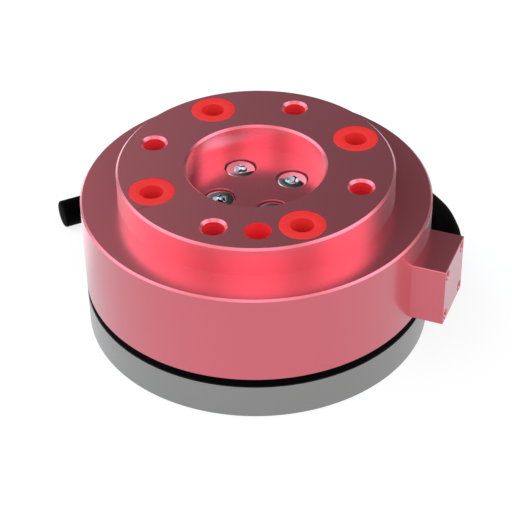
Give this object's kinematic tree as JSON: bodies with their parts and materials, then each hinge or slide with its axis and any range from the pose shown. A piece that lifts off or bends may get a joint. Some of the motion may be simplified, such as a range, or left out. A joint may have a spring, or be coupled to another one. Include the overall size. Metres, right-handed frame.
{
  "type": "force torque sensor",
  "caption": "Round flange sensor between a robot wrist and a tool: stepped red housing with a centre recess, grey base plate, side cable block and a trailing black cable with a cut end.",
  "frame": {"origin": "centre of the base plate's underside, on the body's axis", "axes": "+Z out of the tool face, +X out of the cable block's outer face"},
  "size_m": [0.1074, 0.0912, 0.04],
  "materials": {
    "anodised_red": "satin anodised",
    "anodised_grey": "satin anodised",
    "machined_aluminium": "as machined",
    "black_rubber": "matt",
    "red_polymer": "moulded",
    "screw_steel": "bright",
    "standoff_brass": "turned",
    "board_laminate": "solder resist",
    "chip_epoxy": "moulded",
    "header_plastic": "moulded",
    "gauge_foil": "polyimide film",
    "wire_insulation": "extruded",
    "cable_jacket": "satin extruded"
  },
  "bodies": {
    "root": {"base_plate": "anodised_grey", "base_screws": "screw_steel", "sensing_element": "machined_aluminium", "gauge_set_1": "gauge_foil", "gauge_set_2": "gauge_foil", "gauge_set_3": "gauge_foil", "gauge_set_4": "gauge_foil", "circuit_board": "board_laminate", "board_chips": "chip_epoxy", "board_header": "header_plastic", "board_standoffs": "standoff_brass", "board_screws": "screw_steel", "gap_seal": "black_rubber", "tool_housing": "anodised_red", "hub_screw_1": "screw_steel", "hub_screw_2": "screw_steel", "hub_screw_3": "screw_steel", "hub_screw_4": "screw_steel", "hub_dowel_pins": "screw_steel", "access_plug_1": "red_polymer", "access_plug_2": "red_polymer", "access_plug_3": "red_polymer", "access_plug_4": "red_polymer", "cable_block": "anodised_red", "block_screws": "screw_steel", "strain_relief": "black_rubber", "signal_wires": "wire_insulation", "signal_cable": "cable_jacket"}
  },
  "joints": []
}
